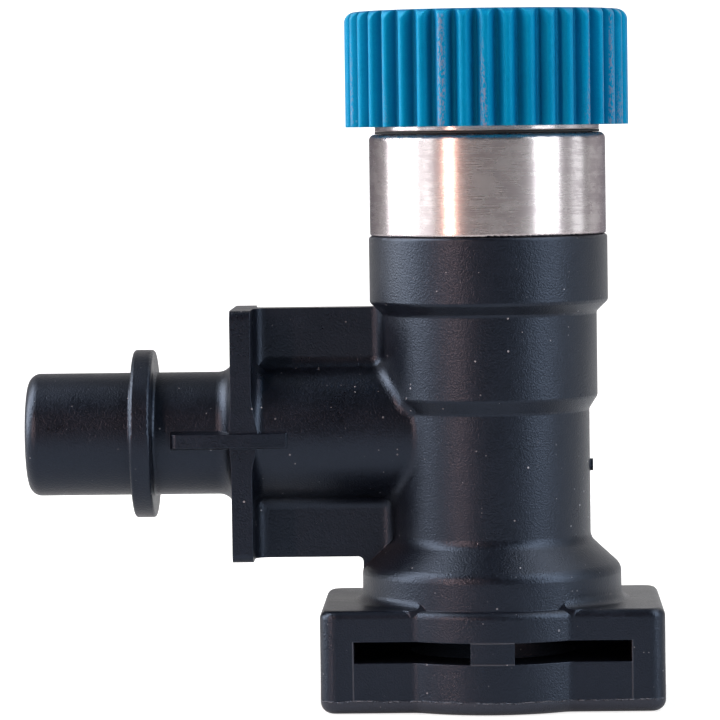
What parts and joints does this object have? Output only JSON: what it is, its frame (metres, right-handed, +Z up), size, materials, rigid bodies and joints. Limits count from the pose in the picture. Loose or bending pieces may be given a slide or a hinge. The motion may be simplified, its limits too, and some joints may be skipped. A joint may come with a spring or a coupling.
{
  "type": "boiler filling valve",
  "caption": "Moulded angle valve that fills a boiler circuit: clip-in inlet socket, quick-fit outlet spigot, plated screw-down head and ribbed blue knob.",
  "frame": {"origin": "where the valve's upright axis meets the plane of the foot's flat underside", "axes": "+Z up the valve's axis to the knob, -X along the outlet spigot, -Y to the valve's front"},
  "size_m": [0.0721, 0.0322, 0.0787],
  "materials": {
    "body_plastic": "black glass-filled nylon, satin moulded skin",
    "plated_brass": "nickel plated, fine turned lines round the axis",
    "raw_brass": "turned brass",
    "knob_plastic": "blue moulded plastic, satin, lightly scuffed",
    "white_plastic": "natural acetal",
    "seal_rubber": "black seal rubber",
    "stainless": "stainless steel"
  },
  "bodies": {
    "body": {"valve_body": "body_plastic", "head": "plated_brass", "head_seal": "seal_rubber", "strainer_ring": "white_plastic", "strainer_screen": "stainless", "check_housing": "white_plastic", "check_housing_seal": "seal_rubber", "check_guide": "white_plastic", "check_retaining_ring": "stainless", "check_spring": "stainless"},
    "stem_carrier": {"disc_holder": "raw_brass", "seat_washer": "seal_rubber", "washer_screw": "stainless", "swivel_clip": "stainless"},
    "knob_and_spindle": {"spindle": "raw_brass", "stem_seal_lower": "seal_rubber", "stem_seal_upper": "seal_rubber", "knob": "knob_plastic", "knob_bush": "raw_brass", "knob_washer": "stainless", "knob_screw": "stainless"},
    "check_poppet": {"check_poppet": "white_plastic", "check_poppet_seal": "seal_rubber"}
  },
  "joints": [
    {"name": "stem_lift", "type": "slide", "parent": "body", "child": "stem_carrier", "axis": [0, 0, 1], "range_m": [0, 0.003]},
    {"name": "knob_turn", "type": "hinge", "parent": "stem_carrier", "child": "knob_and_spindle", "pos_m": [0, 0, 0.072], "axis": [0, 0, 1], "range_deg": [0, 540]},
    {"name": "check_open", "type": "slide", "parent": "body", "child": "check_poppet", "axis": [-1, 0, 0], "range_m": [0, 0.002], "stiffness_N_per_m": 30, "springref_m": -0.004, "deforming": ["check_spring"]}
  ],
  "couplings": [
    {"joint": "knob_turn", "follows": "stem_lift", "rad_per_m": 3141.6}
  ]
}
